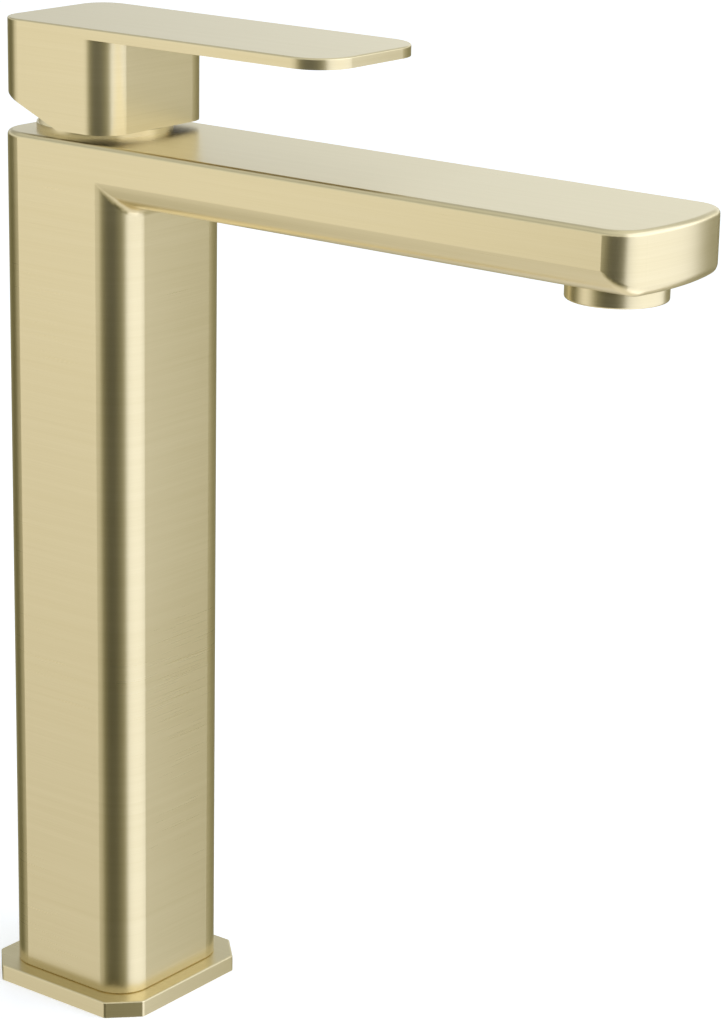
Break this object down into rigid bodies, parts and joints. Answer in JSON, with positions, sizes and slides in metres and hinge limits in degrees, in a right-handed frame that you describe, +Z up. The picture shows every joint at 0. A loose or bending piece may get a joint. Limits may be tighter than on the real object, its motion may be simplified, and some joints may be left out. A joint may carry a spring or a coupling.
{
  "type": "single-lever basin mixer tap",
  "caption": "Tall square single-lever basin mixer in brushed gold: rounded square column on a cut-corner plate, flat box spout with round aerator, block handle with thin flat lever.",
  "frame": {"origin": "the column's axis in the plane of the deck that the base plate stands on", "axes": "+Z up along the column, -Y along the spout towards the user, +X to the right for someone facing the tap from the front (looking along +Y)"},
  "size_m": [0.0604, 0.2299, 0.3041],
  "materials": {
    "brushed_gold": "fine brushed satin gold, straight grain",
    "raw_brass": "machined brass, unpolished",
    "copper": "drawn copper tube",
    "steel": "turned stainless steel",
    "rubber": "moulded black rubber",
    "ceramic": "lapped alumina ceramic",
    "white_plastic": "moulded acetal",
    "dark_plastic": "moulded glass-filled nylon"
  },
  "bodies": {
    "root": {"base_plate": "brushed_gold", "deck_gasket": "rubber", "base_insert": "raw_brass", "plate_screws": "steel", "body_shell": "brushed_gold", "hot_riser": "copper", "cold_riser": "copper", "spout_tube": "copper", "valve_block": "raw_brass", "outlet_block": "raw_brass", "aerator_housing": "brushed_gold", "aerator_screen": "white_plastic", "aerator_insert": "white_plastic", "aerator_washer": "rubber", "cartridge_base": "white_plastic", "inlet_seals": "rubber", "fixed_disc": "ceramic", "cartridge_housing": "dark_plastic", "retaining_nut": "raw_brass", "dome_collar": "brushed_gold"},
    "swing": {"rotating_sleeve": "white_plastic", "stem_pin": "steel"},
    "lever": {"lever_handle": "brushed_gold", "cartridge_stem": "raw_brass", "handle_screw": "steel", "handle_plug": "brushed_gold"},
    "slider": {"disc_carrier": "white_plastic", "moving_disc": "ceramic"}
  },
  "joints": [
    {"name": "handle_swing", "type": "hinge", "parent": "root", "child": "swing", "pos_m": [0, 0.0031, 0.2662], "axis": [0, 0, 1], "range_deg": [-50, 50]},
    {"name": "handle_lift", "type": "hinge", "parent": "swing", "child": "lever", "pos_m": [0, 0.0031, 0.2662], "axis": [-1, 0, 0], "range_deg": [0, 20]},
    {"name": "disc_slide", "type": "slide", "parent": "swing", "child": "slider", "axis": [0, -1, 0], "range_m": [0, 0.00308]}
  ],
  "couplings": [
    {"joint": "disc_slide", "follows": "handle_lift", "m_per_rad": 0.008818}
  ]
}
